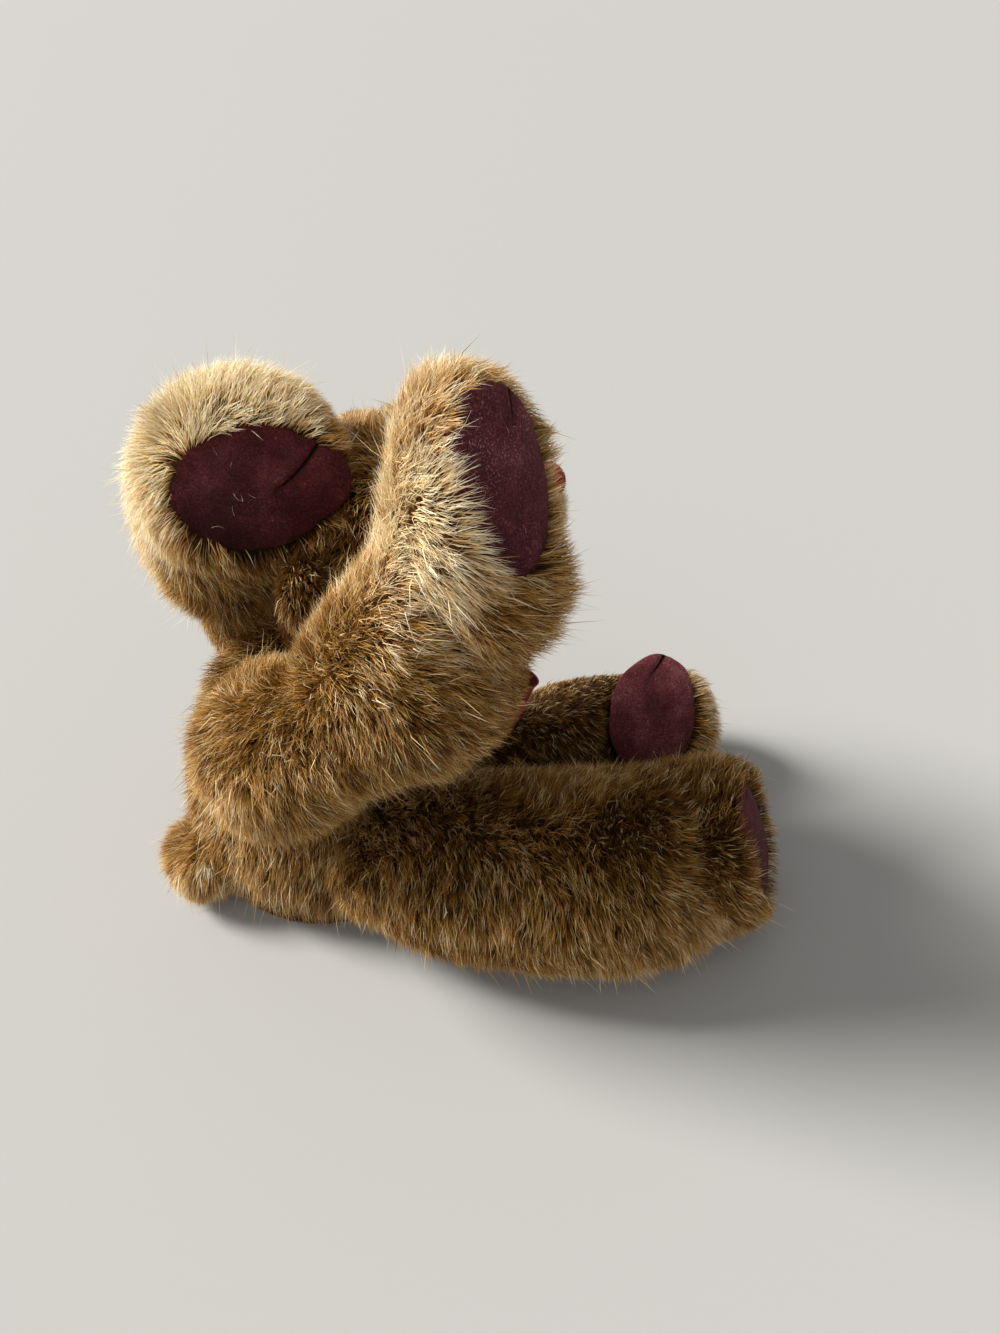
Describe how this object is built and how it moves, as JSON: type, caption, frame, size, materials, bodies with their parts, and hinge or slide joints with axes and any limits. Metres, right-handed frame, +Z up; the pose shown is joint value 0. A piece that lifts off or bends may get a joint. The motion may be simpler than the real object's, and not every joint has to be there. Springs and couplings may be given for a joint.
{
  "type": "teddy bear",
  "caption": "Worn golden-brown plush bear sitting with its arms raised, with burgundy velvet soles and seat panel, a cream muzzle and a red neck ribbon.",
  "frame": {"origin": "middle of the bounding box's underside, on the surface the bear sits on", "axes": "+Z up; the bear looks along -Y, and its own left side is +X"},
  "size_m": [0.1978, 0.2554, 0.2369],
  "materials": {
    "tipped_pile": "long tipped pile, dark at the roots and pale gold at the tips, matted in places",
    "burgundy_velvet": "short burgundy velvet, matt, brushed and linty",
    "cream_plush": "short cream plush",
    "red_felt": "red felt",
    "red_ribbon": "red woven ribbon with a soft sheen",
    "dark_eye": "glossy, very dark brown"
  },
  "bodies": {
    "root": {"torso": "tipped_pile", "head": "tipped_pile", "ear_left": "tipped_pile", "ear_right": "tipped_pile", "arm_left": "tipped_pile", "arm_right": "tipped_pile", "leg_left": "tipped_pile", "leg_right": "tipped_pile", "tail": "tipped_pile", "paw_pad_left": "burgundy_velvet", "paw_pad_right": "burgundy_velvet", "foot_pad_left": "burgundy_velvet", "foot_pad_right": "burgundy_velvet", "seat_panel": "burgundy_velvet", "muzzle": "cream_plush", "nose": "red_felt", "eye_left": "dark_eye", "eye_right": "dark_eye", "neck_ribbon": "red_ribbon", "bow": "red_ribbon"}
  },
  "joints": []
}
